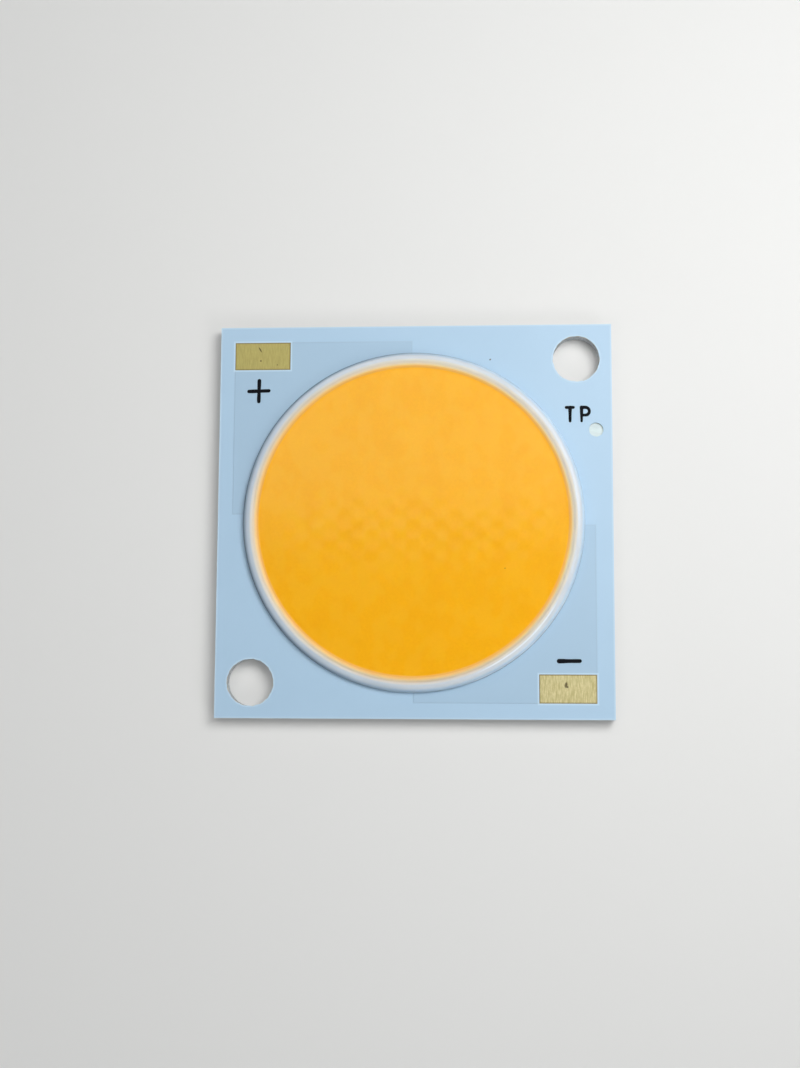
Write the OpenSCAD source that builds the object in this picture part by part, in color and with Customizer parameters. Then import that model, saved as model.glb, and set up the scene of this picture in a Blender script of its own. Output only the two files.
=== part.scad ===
// Chip-on-board light source on a square aluminium-core board.
//
// Layers from the underside up: aluminium base, dielectric with a round window that bares
// the base, copper film in two halves, white solder mask, gold-plated solder pads.  A round
// silicone dam stands on the board.  Inside it the chips are glued to the bare base in
// straight rows along Y, each row is wired from the anode bus to the cathode bus, and the
// phosphor-loaded silicone fills the dam to just under its crest.
//
// Origin: middle of the underside.  +Z is the way the light leaves.

/* [Board] */
// Width of the board along X
board_w = 28; // [26:0.1:32]
// Depth of the board along Y
board_d = 28; // [26:0.1:32]
// Thickness of the aluminium base
base_t = 1; // [0.8:0.1:2]
// Thickness of the dielectric film
dielectric_t = 0.08; // [0.06:0.01:0.12]
// Thickness of the copper film
copper_t = 0.035; // [0.02:0.005:0.07]
// Thickness of the solder mask where it lies on copper
mask_t = 0.03; // [0.02:0.005:0.05]
// Step of the solder mask down from the copper to the bare dielectric
mask_step = 0.02; // [0.01:0.005:0.03]
// Reach of the solder mask past the side of the copper it covers
mask_skirt = 0.05; // [0.03:0.01:0.1]

/* [Screw holes] */
// Diameter of the two screw holes
hole_d = 3.3; // [2.7:0.1:3.5]
// Distance of a screw hole's middle from the nearer edge of the board, along X
hole_edge_x = 2.5; // [2.3:0.1:2.7]
// Distance of a screw hole's middle from the nearer edge of the board, along Y
hole_edge_y = 2.5; // [2.3:0.1:2.7]

/* [Temperature point] */
// Diameter of the recess that bares the base for a temperature probe
probe_d = 1; // [0.6:0.1:1.2]
// Distance of the recess from the right-hand edge of the board
probe_edge_x = 1.13; // [0.8:0.01:1.3]
// Distance of the recess from the upper edge of the board
probe_edge_y = 7.63; // [6.5:0.01:8.5]

/* [Copper film] */
// Distance of the copper's outer sides from the edges of the board, along X
copper_edge_x = 1.15; // [0.8:0.01:1.4]
// Distance of the copper's outer sides from the edges of the board, along Y
copper_edge_y = 1.12; // [0.8:0.01:1.4]
// Distance by which the copper film sits off the middle of the board, to the left
copper_shift = 0.1; // [0:0.01:0.1]
// Gap between the two halves across the middle of the board, along X
copper_gap_x = 0.2; // [0.15:0.01:0.6]
// Gap between the two halves across the middle of the board, along Y
copper_gap_y = 0.84; // [0.6:0.01:1.2]
// Width of the bonding bus that each half carries round the chips
bus_w = 1.25; // [1:0.05:1.4]
// Set-back of the bus's outer edge from the dam's outer foot
bus_inset = 0.29; // [0.2:0.01:0.35]
// Reach of the dielectric film past the inner edge of the bus
film_skirt = 0.02; // [0.01:0.01:0.1]

/* [Solder pads] */
// Length of a solder pad along X
pad_l = 4; // [3:0.1:5]
// Width of a solder pad along Y
pad_w = 2; // [1.5:0.1:2.5]
// Thickness of the gold plating on a solder pad
plating_t = 0.01; // [0.008:0.001:0.015]

/* [Dam and phosphor] */
// Diameter of the dam at the middle of its bead
dam_d = 23.2; // [22.6:0.1:23.6]
// Width of the dam's bead
dam_w = 1.1; // [0.9:0.05:1.3]
// Height of the dam's bead above the solder mask
dam_h = 0.6; // [0.5:0.01:0.7]
// Set-back of the dam's foot from the edge of its bead
foot_inset = 0.03; // [0.02:0.01:0.06]
// Depth of the phosphor's flat surface below the dam's crest
fill_drop = 0.2; // [0.15:0.01:0.24]
// Height that the phosphor creeps up the dam's inner slope
creep_h = 0.06; // [0.03:0.01:0.08]
// Radius of the hollow where the phosphor's surface turns up to the dam
creep_r = 0.5; // [0.3:0.05:0.8]
// Width of the ring of solder mask that the dam covers
mask_under_dam = 0.9; // [0.7:0.05:1]

/* [Chips] */
// Width of a chip along X
chip_w = 0.5; // [0.4:0.01:0.6]
// Length of a chip along Y
chip_l = 0.76; // [0.6:0.01:0.9]
// Thickness of a chip
chip_t = 0.13; // [0.1:0.01:0.15]
// Thickness of the adhesive under a chip
glue_t = 0.01; // [0.005:0.001:0.02]
// Distance between neighbouring rows of chips, along X
row_pitch = 0.98; // [0.9:0.01:1.1]
// Distance between neighbouring chips of one row, along Y
chip_pitch = 1.52; // [1.4:0.01:1.7]
// Gap between the outermost chips and the edge of the dielectric's window
chip_clear = 0.1; // [0.05:0.01:0.3]

/* [Bond wires] */
// Thickness of a bond wire
wire_d = 0.03; // [0.02:0.005:0.04]
// Rise of a bond wire's loop above the straight line between its ends
wire_rise = 0.12; // [0.08:0.01:0.16]
// Length along Y of each sloping leg of a wire's loop
wire_leg = 0.2; // [0.12:0.01:0.24]
// Distance of a bond from the end of its chip
bond_inset = 0.12; // [0.08:0.01:0.2]
// Distance of the outer bonds from the inner edge of the bus
bus_bond_inset = 0.22; // [0.15:0.01:0.3]

/* [Hidden] */
$fn = 96;
CUT = 0.5;                                   // overshoot of a cutting tool past a free face

// Places measured in from the board's edges
hole_x = board_w / 2 - hole_edge_x;
hole_y = board_d / 2 - hole_edge_y;
probe_x = board_w / 2 - probe_edge_x;
probe_y = board_d / 2 - probe_edge_y;
copper_reach_x = board_w / 2 - copper_edge_x;
copper_reach_y = board_d / 2 - copper_edge_y;

// Levels of the layers above the underside
dielectric_z = base_t;
copper_z = dielectric_z + dielectric_t;
pad_z = copper_z + copper_t;
mask_z = pad_z + mask_t;                     // top of the mask over copper
mask_low_z = mask_z - mask_step;             // top of the mask over bare dielectric
chip_z = base_t + glue_t;
chip_top_z = chip_z + chip_t;

// The bead is a circle cut off by the mask
dam_r = dam_d / 2;
bead_r = dam_w / 2;
bead_z = mask_z + dam_h - bead_r;
foot_half = sqrt(pow(bead_r, 2) - pow(bead_z - mask_z, 2));
dam_outer_r = dam_r + foot_half;

// Phosphor surface, and the place where it turns up to the bead
fill_z = mask_z + dam_h - fill_drop;
creep_z = fill_z + creep_h;
creep_end_r = dam_r - sqrt(pow(bead_r, 2) - pow(creep_z - bead_z, 2));
creep_start_r = creep_end_r - sqrt(pow(creep_r, 2) - pow(creep_r - creep_h, 2));

// Rings under and inside the dam
mask_window_r = dam_outer_r - mask_under_dam;
bus_outer_r = dam_outer_r - bus_inset;
bus_inner_r = bus_outer_r - bus_w;
dielectric_window_r = bus_inner_r - copper_shift - film_skirt;
bus_bond_r = bus_inner_r + bus_bond_inset;

// Chip rows that fit inside the dielectric's window
field_r = dielectric_window_r - chip_clear;
rows = 2 * floor((sqrt(pow(field_r, 2) - pow(chip_pitch / 2 + chip_l / 2, 2)) - chip_w / 2)
                 / row_pitch + 0.5);

ROWS = [0 : rows - 1];

// ---------------------------------------------------------------- board layers

// A board-sized slab that starts at z
module slab(z, t) {
    translate([-board_w / 2, -board_d / 2, z]) cube([board_w, board_d, t]);
}

// Cutting tool for the two screw holes, on one diagonal of the board
module screw_holes() {
    for (side = [-1, 1])
        translate([side * hole_x, side * hole_y, -CUT])
            cylinder(d = hole_d, h = mask_z + 2 * CUT);
}

// Cutting tool for the temperature point, from the base upwards
module probe_recess() {
    translate([probe_x, probe_y, base_t]) cylinder(d = probe_d, h = mask_z);
}

module aluminium_base() {
    color("#b9bcbd") difference() {
        slab(0, base_t);
        screw_holes();
    }
}

module dielectric_film() {
    color("#d8dcd6") difference() {
        slab(dielectric_z, dielectric_t);
        screw_holes();
        probe_recess();
        translate([0, 0, dielectric_z - CUT])
            cylinder(r = dielectric_window_r, h = dielectric_t + 2 * CUT);
    }
}

// ---------------------------------------------------------------- copper film

// Outline of the anode's half: a square field that fills the upper left corner up to the
// bus, and the bus itself, which runs round the upper half of the dam.  grow moves every
// edge outwards.
module copper_outline(grow = 0) {
    field_w = copper_reach_x - copper_gap_x / 2 + 2 * grow;
    low_y = copper_gap_y / 2 - grow;
    field_d = copper_reach_y + grow - low_y;
    difference() {
        union() {
            translate([-copper_reach_x - grow, low_y]) square([field_w, field_d]);
            intersection() {
                circle(r = bus_outer_r + grow);
                translate([-board_w, low_y]) square([2 * board_w, board_d]);
            }
        }
        circle(r = bus_inner_r - grow);
    }
}

// Places the anode's outline, or the cathode's, which is the same outline turned half round
module on_polarity(anode) {
    translate([-copper_shift, 0]) rotate(anode ? 0 : 180) children();
}

module copper_half(anode) {
    translate([0, 0, copper_z]) linear_extrude(copper_t) on_polarity(anode) copper_outline();
}

module anode_copper() {
    color("#b87848") copper_half(true);
}

module cathode_copper() {
    color("#b87848") copper_half(false);
}

// Outline of a solder pad, in the outer corner of its copper half
module pad_outline() {
    translate([-copper_reach_x, copper_reach_y - pad_w]) square([pad_l, pad_w]);
}

module pad(anode) {
    translate([0, 0, pad_z]) linear_extrude(plating_t) on_polarity(anode) pad_outline();
}

module anode_pad() {
    color("#d9b44a") pad(true);
}

module cathode_pad() {
    color("#d9b44a") pad(false);
}

// White mask: low over the bare dielectric, a step higher over the copper, open at the pads
module solder_mask() {
    color("#dfe9f0") difference() {
        union() {
            slab(copper_z, mask_low_z - copper_z);
            for (anode = [true, false])
                translate([0, 0, copper_z]) linear_extrude(mask_z - copper_z)
                    on_polarity(anode) copper_outline(mask_skirt);
        }
        for (anode = [true, false]) {
            copper_half(anode);
            translate([0, 0, pad_z]) linear_extrude(mask_z)
                on_polarity(anode) pad_outline();
        }
        screw_holes();
        probe_recess();
        translate([0, 0, copper_z - CUT]) cylinder(r = mask_window_r, h = mask_z);
    }
}

// ---------------------------------------------------------------- dam and phosphor

// Section of the dam, x from the middle of the board: a round bead on a narrower foot that
// reaches down to the base
module dam_section() {
    intersection() {
        translate([dam_r, bead_z]) circle(r = bead_r);
        translate([0, mask_z]) square([board_w, board_w]);
    }
    translate([dam_r - foot_half + foot_inset, base_t])
        square([2 * (foot_half - foot_inset), mask_z - base_t]);
}

module dam_ring() {
    color("#eef2f4") difference() {
        rotate_extrude() dam_section();
        dielectric_film();
        copper_half(true);
        copper_half(false);
        solder_mask();
    }
}

// Section of the phosphor: flat, turned up at the dam, and stopped by the dam's inner slope
module phosphor_section() {
    difference() {
        translate([0, base_t]) square([dam_r, creep_z - base_t]);
        translate([0, fill_z]) square([creep_start_r, CUT]);
        translate([creep_start_r, fill_z + creep_r]) circle(r = creep_r);
        dam_section();
    }
}

// The phosphor round the rows, before the chips and their wires take their room in it
module phosphor_body() {
    difference() {
        rotate_extrude() phosphor_section();
        dielectric_film();
        copper_half(true);
        copper_half(false);
    }
}

module phosphor_fill() {
    color("#f2ab2e") difference() {
        phosphor_body();
        for (row = ROWS) {
            chips(row, base_t, glue_t + chip_t);
            wires(row);
        }
    }
}

// ---------------------------------------------------------------- chips and wires

// Distance of a row from the middle of the board
function row_x(row) = (row - (rows - 1) / 2) * row_pitch;

// Half the length of the field that a row's chips may use
function row_reach(row) = sqrt(pow(field_r, 2) - pow(abs(row_x(row)) + chip_w / 2, 2)) - chip_l / 2;

// Number of chips in a row: odd and even rows are half a pitch apart, like bricks
function row_count(row) =
    row % 2 == 0 ? 1 + 2 * floor(row_reach(row) / chip_pitch)
                 : 2 * floor(row_reach(row) / chip_pitch + 0.5);

// Places of a row's chips along Y, from the cathode bus to the anode bus
function row_places(row) =
    [for (i = [0 : row_count(row) - 1]) (i - (row_count(row) - 1) / 2) * chip_pitch];

// The chips of a row as boxes that start at z
module chips(row, z, t) {
    for (y = row_places(row))
        translate([row_x(row) - chip_w / 2, y - chip_l / 2, z]) cube([chip_w, chip_l, t]);
}

module chip_row(row) {
    color("#8fb6c9") chips(row, chip_z, chip_t);
}

module die_adhesive() {
    color("#e8e4d8") for (row = ROWS) chips(row, base_t, glue_t);
}

// Horizontal width of a wire's leg that climbs h over the run of wire_leg
function leg_width(h) = wire_d / sin(atan2(h, wire_leg));

// How far a leg's outer side stands back from its inner side at the wire's top
function leg_mitre(h) = wire_d * tan(atan2(h, wire_leg) / 2);

// Section of a looped wire in the plane Y-Z: a level span between two sloping legs, whose
// feet are cut level with what they are bonded to, z0 at y0 and z1 at y1
module wire_section(y0, z0, y1, z1) {
    top = max(z0, z1) + wire_rise;
    under = [[y0, z0], [y0 + wire_leg, top], [y1 - wire_leg, top], [y1, z1]];
    over = [[y1 + leg_width(top - z1), z1],
            [y1 - wire_leg + leg_mitre(top - z1), top + wire_d],
            [y0 + wire_leg - leg_mitre(top - z0), top + wire_d],
            [y0 - leg_width(top - z0), z0]];
    polygon(concat(under, over));
}

// One looped wire of a row
module wire(row, y0, z0, y1, z1) {
    translate([row_x(row) - wire_d / 2, 0, 0]) rotate([90, 0, 90])
        linear_extrude(wire_d) wire_section(y0, z0, y1, z1);
}

// All wires of a row: from bus to chip, from chip to chip, and from chip to bus
module wires(row) {
    places = row_places(row);
    bond = chip_l / 2 - bond_inset;
    bus_y = sqrt(pow(bus_bond_r, 2) - pow(row_x(row), 2));
    last = len(places) - 1;
    wire(row, -bus_y, pad_z, places[0] - bond, chip_top_z);
    for (i = [0 : last - 1]) wire(row, places[i] + bond, chip_top_z, places[i + 1] - bond, chip_top_z);
    wire(row, places[last] + bond, chip_top_z, bus_y, pad_z);
}

module wire_row(row) {
    color("#e0b040") wires(row);
}

// ---------------------------------------------------------------- drawing

aluminium_base();
dielectric_film();
anode_copper();
cathode_copper();
solder_mask();
anode_pad();
cathode_pad();
die_adhesive();
dam_ring();
phosphor_fill();
for (i = ROWS) {
    chip_row(i);
    wire_row(i);
}
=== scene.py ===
"""Looks of a chip-on-board LED, built over its CAD frame.

Every sub-assembly is a class that builds its pieces with bmesh and dresses them with procedural finishes.
Sizes are in millimetres while a piece is built and are scaled to metres when it becomes an object. The frame
is the CAD's: origin under the middle of the board, +Z out of the light face, +Y towards the anode edge.
"""

import logging
import math
import random
from dataclasses import dataclass
from enum import Enum
from typing import Any, Iterable, Sequence

import bmesh
import bpy
from mathutils import Matrix, Vector

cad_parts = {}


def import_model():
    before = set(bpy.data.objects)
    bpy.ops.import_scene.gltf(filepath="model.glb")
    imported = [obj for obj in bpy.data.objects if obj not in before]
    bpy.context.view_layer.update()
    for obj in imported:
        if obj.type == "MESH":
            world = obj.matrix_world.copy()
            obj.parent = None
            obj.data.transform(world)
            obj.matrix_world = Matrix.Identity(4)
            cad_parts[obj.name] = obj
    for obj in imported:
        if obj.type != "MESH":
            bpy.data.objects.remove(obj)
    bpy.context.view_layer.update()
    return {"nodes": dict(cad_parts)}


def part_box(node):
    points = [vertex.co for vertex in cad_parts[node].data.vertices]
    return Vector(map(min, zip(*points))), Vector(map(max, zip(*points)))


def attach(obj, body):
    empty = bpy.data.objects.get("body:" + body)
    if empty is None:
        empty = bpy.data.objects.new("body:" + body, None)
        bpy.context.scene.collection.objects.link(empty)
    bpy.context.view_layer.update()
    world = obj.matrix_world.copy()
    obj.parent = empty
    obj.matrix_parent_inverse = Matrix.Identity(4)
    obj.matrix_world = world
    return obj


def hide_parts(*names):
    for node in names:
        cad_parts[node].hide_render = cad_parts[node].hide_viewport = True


logging.basicConfig(level=logging.INFO, format="%(name)s: %(message)s")
LOG = logging.getLogger("cob_led")

MM = 0.001
MERGE_MM = 0.0001
FLAT = 0.9999
NOISE_RANGE = (0.3, 0.7)
SILICONE_IOR = 1.41

Point = tuple[float, float]
Box = tuple[Point, Point]
Mark = tuple[Point, Point, float]
Triple = tuple[float, float, float]
Colour = Triple


class Slot(Enum):
    """Material slot names that the pieces built here carry."""

    ALUMINIUM = "aluminium"
    MASK = "solder_mask"
    GOLD = "gold_plating"
    DAM = "dam_silicone"
    PHOSPHOR = "phosphor_silicone"


class Polarity(Enum):
    """The two halves of the circuit; the value turns the anode's layout into this half's."""

    ANODE = 1
    CATHODE = -1

    def node(self, kind: str) -> str:
        """Name of this half's CAD node of a kind, copper or pad."""
        return f"{self.name.lower()}_{kind}"


def linear(red: int, green: int, blue: int) -> Colour:
    """Turns an sRGB colour, from 0 to 255, into the linear one that shaders use."""
    shares = (red / 255, green / 255, blue / 255)
    return tuple(s / 12.92 if s <= 0.04045 else ((s + 0.055) / 1.055) ** 2.4 for s in shares)


# ---- shader graph


class Graph:
    """The node tree of one material or world, made by short calls."""

    def __init__(self, owner: bpy.types.Material | bpy.types.World) -> None:
        """Empties the owner's node tree.

        Args:
            owner: The material or world to draw.
        """
        self.owner = owner
        owner.use_nodes = True
        self.tree = owner.node_tree
        self.tree.nodes.clear()
        self._place = self.add("ShaderNodeTexCoord").outputs["Object"]

    def add(self, kind: str, inputs: dict[Any, Any] | None = None, **settings: Any) -> bpy.types.Node:
        """Adds a node.

        Args:
            kind: The node's type name.
            inputs: Socket name or number to a value or to another node's socket.
            **settings: Attributes of the node.

        Returns:
            The new node.
        """
        node = self.tree.nodes.new(kind)
        for key, value in settings.items():
            setattr(node, key, value)
        for key, value in (inputs or {}).items():
            socket = node.inputs[key]
            if isinstance(value, bpy.types.NodeSocket):
                self.tree.links.new(value, socket)
            elif socket.type == "RGBA":
                socket.default_value = (*value, 1.0)[:4]
            else:
                socket.default_value = value
        return node

    def calc(self, operation: str, first: Any, second: Any = 0.0) -> Any:
        """Adds a math node and gives its result's socket."""
        node = self.add("ShaderNodeMath", {0: first, 1: second}, operation=operation)
        return node.outputs[0]

    def axes(self) -> tuple[Any, Any, Any]:
        """Splits the object coordinates into X, Y and Z sockets, in metres."""
        split = self.add("ShaderNodeSeparateXYZ", {0: self._place})
        return split.outputs[0], split.outputs[1], split.outputs[2]

    def noise(self, per_mm: float, detail: float = 3.0, stretch: Sequence[float] = (1, 1, 1)) -> Any:
        """Adds a noise texture.

        Args:
            per_mm: Features per millimetre.
            detail: Octaves.
            stretch: Extra factor along each axis.

        Returns:
            The factor's socket, about 0.5 in the middle.
        """
        scale = tuple(per_mm / MM * s for s in stretch)
        place = self.add("ShaderNodeVectorMath", {0: self._place, 1: scale}, operation="MULTIPLY").outputs[0]
        settings = {"Vector": place, "Scale": 1.0, "Detail": detail, "Roughness": 0.6}
        return self.add("ShaderNodeTexNoise", settings).outputs["Fac"]

    def ramp(self, value: Any, low: float, high: float, start: float = 0.0, end: float = 1.0) -> Any:
        """Maps a range smoothly to another.

        Args:
            value: The value's socket.
            low: Value at the start.
            high: Value at the end.
            start: Result at low.
            end: Result at high.

        Returns:
            The result's socket.
        """
        node = self.add(
            "ShaderNodeMapRange",
            {"Value": value, "From Min": low, "From Max": high, "To Min": start, "To Max": end},
            interpolation_type="SMOOTHSTEP",
        )
        return node.outputs[0]

    def rise(self, value: Any, span: Point, start: float = 0.0, end: float = 1.0) -> Any:
        """Maps a distance in metres smoothly from start to end over a span in millimetres."""
        return self.ramp(value, span[0] * MM, span[1] * MM, start, end)

    def spread(self, noise: Any, start: float = 0.0, end: float = 1.0) -> Any:
        """Maps the range that a noise mostly fills to start and end."""
        return self.ramp(noise, *NOISE_RANGE, start, end)

    def stripe(self, distance: Any, at: float, fade: Point, strength: float = 1.0) -> Any:
        """A soft stripe where a distance in metres passes a value; value and fade are in millimetres."""
        away = self.calc("ABSOLUTE", self.calc("SUBTRACT", distance, at * MM))
        return self.rise(away, fade, strength, 0.0)

    def slant(self, x_part: float, y_part: float) -> Any:
        """Distance along a slanting direction in plan, in metres; the parts weigh X and Y."""
        x, y, _ = self.axes()
        return self.calc("ADD", self.calc("MULTIPLY", x, x_part), self.calc("MULTIPLY", y, y_part))

    def mix(self, factor: Any, first: Any, second: Any, blend: str = "MIX") -> Any:
        """Mixes two colours or sockets; the factor is the second's share."""
        node = self.add("ShaderNodeMix", {0: factor, 6: first, 7: second}, data_type="RGBA", blend_type=blend)
        return node.outputs[2]

    def gradient(self, value: Any, stops: Sequence[tuple[float, Any]]) -> Any:
        """Runs through several colours in turn.

        Args:
            value: The value's socket.
            stops: Values and their colours, rising.

        Returns:
            The colour's socket.
        """
        colour = stops[0][1]
        for (low, _), (high, after) in zip(stops, stops[1:]):
            colour = self.mix(self.ramp(value, low, high), colour, after)
        return colour

    def radius(self, centre: Point = (0.0, 0.0)) -> Any:
        """Distance from an upright axis, in metres.

        Args:
            centre: Where the axis stands, in millimetres.

        Returns:
            The distance's socket.
        """
        x, y, _ = self.axes()
        x = self.calc("SUBTRACT", x, centre[0] * MM)
        y = self.calc("SUBTRACT", y, centre[1] * MM)
        return self.calc("SQRT", self.calc("ADD", self.calc("MULTIPLY", x, x), self.calc("MULTIPLY", y, y)))

    def box_distance(self, low: Point, high: Point) -> Any:
        """Signed distance to an upright box's sides in plan, below 0 inside.

        Args:
            low: Lowest corner in millimetres.
            high: Highest corner in millimetres.

        Returns:
            The distance's socket, in metres.
        """
        x, y, _ = self.axes()
        sides = []
        for axis, lo, hi in ((x, low[0], high[0]), (y, low[1], high[1])):
            away = self.calc("ABSOLUTE", self.calc("SUBTRACT", axis, (lo + hi) / 2 * MM))
            sides.append(self.calc("SUBTRACT", away, (hi - lo) / 2 * MM))
        return self.calc("MAXIMUM", sides[0], sides[1])

    def nearest(self, boxes: Sequence[Box]) -> Any:
        """Signed distance to the nearest of several boxes in plan, below 0 inside.

        Args:
            boxes: Lowest and highest corner of each, in millimetres.

        Returns:
            The distance's socket, in metres.
        """
        near = self.box_distance(*boxes[0])
        for box in boxes[1:]:
            near = self.calc("MINIMUM", near, self.box_distance(*box))
        return near

    def spot(self, centre: Point, across: Point, turn: float = 0.0, fade: Point = (1.4, 0.6)) -> Any:
        """A soft elliptical spot in plan, 1 inside and 0 outside.

        Args:
            centre: Its middle in millimetres.
            across: Its two half sizes in millimetres.
            turn: Its turn in degrees.
            fade: Shares of the half size at which it is 0 and 1.

        Returns:
            The spot's socket.
        """
        x, y, _ = self.axes()
        dx = self.calc("SUBTRACT", x, centre[0] * MM)
        dy = self.calc("SUBTRACT", y, centre[1] * MM)
        cos, sin = math.cos(math.radians(turn)), math.sin(math.radians(turn))
        along = self.calc("ADD", self.calc("MULTIPLY", dx, cos), self.calc("MULTIPLY", dy, sin))
        aside = self.calc("SUBTRACT", self.calc("MULTIPLY", dy, cos), self.calc("MULTIPLY", dx, sin))
        u = self.calc("DIVIDE", along, across[0] * MM)
        v = self.calc("DIVIDE", aside, across[1] * MM)
        reach = self.calc("SQRT", self.calc("ADD", self.calc("MULTIPLY", u, u), self.calc("MULTIPLY", v, v)))
        return self.ramp(reach, fade[1], fade[0], 1.0, 0.0)

    def bump(self, height: Any, depth_mm: float, strength: float = 1.0) -> Any:
        """Turns a height from 0 to 1 into a relief whose depth is in millimetres."""
        node = self.add("ShaderNodeBump", {"Height": height, "Distance": depth_mm * MM, "Strength": strength})
        return node.outputs["Normal"]

    def seen_by_eye(self) -> Any:
        """Whether a ray looks, in a mirror or through glass too, rather than lights.

        Returns:
            The factor's socket.
        """
        path = self.add("ShaderNodeLightPath").outputs
        mirrored = self.calc("MAXIMUM", path["Is Glossy Ray"], path["Is Transmission Ray"])
        return self.calc("MAXIMUM", path["Is Camera Ray"], mirrored)

    def surface(self, **inputs: Any) -> bpy.types.Material:
        """Ends the graph with a principled surface.

        Args:
            **inputs: Principled inputs by name, with _ for a space.

        Returns:
            The finished material.
        """
        shader = self.add("ShaderNodeBsdfPrincipled", {k.replace("_", " "): v for k, v in inputs.items()})
        self.add("ShaderNodeOutputMaterial", {"Surface": shader.outputs[0]})
        return self.owner


# ---- finishes


@dataclass(frozen=True)
class Finish:
    """A procedural finish; each kind draws its own graph."""

    name: str

    def material(self) -> bpy.types.Material:
        """Gives the finish's material, made at its first use."""
        made = bpy.data.materials.get(self.name)
        return made if made else self.draw(Graph(bpy.data.materials.new(self.name)))

    def draw(self, graph: Graph) -> bpy.types.Material:
        """Draws the finish into an empty graph and gives the material."""
        raise NotImplementedError


@dataclass(frozen=True)
class MaskFinish(Finish):
    """White solder mask, greyer over the copper and with a fine line along the copper's outline; a painted
    highlight runs along the board's edges and round the holes.
    """

    pours: tuple[Box, ...]
    pads: tuple[Box, ...]
    board: Box
    holes: tuple[Point, ...]
    hole_r: float
    bare: Colour = linear(173, 203, 226)
    over_copper: Colour = linear(166, 195, 217)
    outline: Colour = linear(150, 173, 193)
    halo: Colour = linear(200, 224, 242)
    halo_w: float = 0.16
    highlight_rim_w: float = 0.13
    outline_w: float = 0.07
    step_w: float = 0.04
    outline_strength: float = 0.25
    halo_strength: float = 0.7
    highlight_rim_strength: float = 0.6
    clouded: Colour = (0.94, 0.95, 0.96)
    speck: Mark = ((5.4, 11.5), (0.07, 0.05), 30)
    speck_tone: Colour = linear(70, 66, 60)

    def draw(self, graph: Graph) -> bpy.types.Material:
        """Draws the coat with the copper showing through.

        Args:
            graph: An empty graph.

        Returns:
            The finished material.
        """
        near = graph.nearest(self.pours)
        inside = graph.rise(near, (-self.step_w, self.step_w), 1.0, 0.0)
        line = graph.stripe(near, 0.0, (0.2 * self.outline_w, self.outline_w))
        cloud = graph.spread(graph.noise(0.25, 4), 0.0, 0.35)
        coat = graph.mix(inside, self.bare, self.over_copper)
        coat = graph.mix(cloud, coat, graph.mix(1.0, coat, self.clouded, "MULTIPLY"))
        coat = graph.mix(graph.calc("MULTIPLY", line, self.outline_strength), coat, self.outline)
        by_pad = graph.nearest(self.pads)
        halo = graph.rise(by_pad, (0.4 * self.halo_w, self.halo_w), self.halo_strength, 0.0)
        coat = graph.mix(halo, coat, self.halo)
        # Painted highlight: a pale rim along the board's edges and round the screw holes, drawn in the halo
        # colour.
        rim = graph.rise(graph.box_distance(*self.board), (-self.highlight_rim_w, -0.3 * self.highlight_rim_w))
        edge = (self.hole_r + self.highlight_rim_w) / self.hole_r
        for hole in self.holes:
            ring = graph.spot(hole, (self.hole_r, self.hole_r), fade=(edge, 1 + (edge - 1) * 0.3))
            rim = graph.calc("MAXIMUM", rim, ring)
        coat = graph.mix(graph.calc("MULTIPLY", rim, self.highlight_rim_strength), coat, self.halo)
        coat = graph.mix(graph.spot(*self.speck), coat, self.speck_tone)
        grain = graph.noise(9.0, 3)
        return graph.surface(
            Base_Color=coat,
            Roughness=graph.spread(grain, 0.4, 0.46),
            Normal=graph.bump(grain, 0.0008, 0.5),
        )


@dataclass(frozen=True)
class GrainFinish(Finish):
    """A plain solid with a faint grain: copper, wire, laminate, adhesive, chip or ink."""

    light: Colour
    dark: Colour
    roughness: Point
    per_mm: float = 6.0
    relief: float = 0.003
    shine: float = 0.5
    metallic: float = 0.0
    detail: float = 3.0
    depth: float = 0.5
    streaks: Triple = (1.0, 1.0, 1.0)

    def draw(self, graph: Graph) -> bpy.types.Material:
        """Draws the grain.

        Args:
            graph: An empty graph.

        Returns:
            The finished material.
        """
        grain = graph.noise(self.per_mm, self.detail, self.streaks)
        return graph.surface(
            Base_Color=graph.mix(graph.spread(grain), self.dark, self.light),
            Metallic=self.metallic,
            Roughness=graph.spread(grain, *self.roughness),
            Specular_IOR_Level=self.shine,
            Normal=graph.bump(grain, self.relief, self.depth),
        )


@dataclass(frozen=True)
class BaseFinish(Finish):
    """Aluminium sheet: satin on its faces, sheared and darker on its edges and hole walls."""

    face: Colour = linear(203, 217, 217)
    face_dull: Colour = linear(192, 205, 206)
    wall: Colour = linear(196, 200, 203)
    wall_dull: Colour = linear(158, 162, 166)
    metallic: float = 0.3
    smooth: float = 0.52
    rough: float = 0.62

    def draw(self, graph: Graph) -> bpy.types.Material:
        """Draws faces and walls.

        Args:
            graph: An empty graph.

        Returns:
            The finished material.
        """
        normal = graph.add("ShaderNodeNewGeometry").outputs["Normal"]
        up = graph.calc("ABSOLUTE", graph.add("ShaderNodeSeparateXYZ", {0: normal}).outputs[2])
        level = graph.ramp(up, 0.3, 0.8)
        rolled = graph.noise(1.5, 4, (1.0, 9.0, 1.0))
        sheared = graph.noise(7.0, 3, (1.0, 1.0, 0.3))
        flat = graph.mix(graph.spread(rolled), self.face_dull, self.face)
        side = graph.mix(graph.spread(sheared), self.wall_dull, self.wall)
        return graph.surface(
            Base_Color=graph.mix(level, side, flat),
            Metallic=self.metallic,
            Roughness=graph.spread(rolled, self.rough, self.smooth),
            Normal=graph.bump(graph.mix(level, sheared, rolled), 0.004, 0.5),
        )


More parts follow.
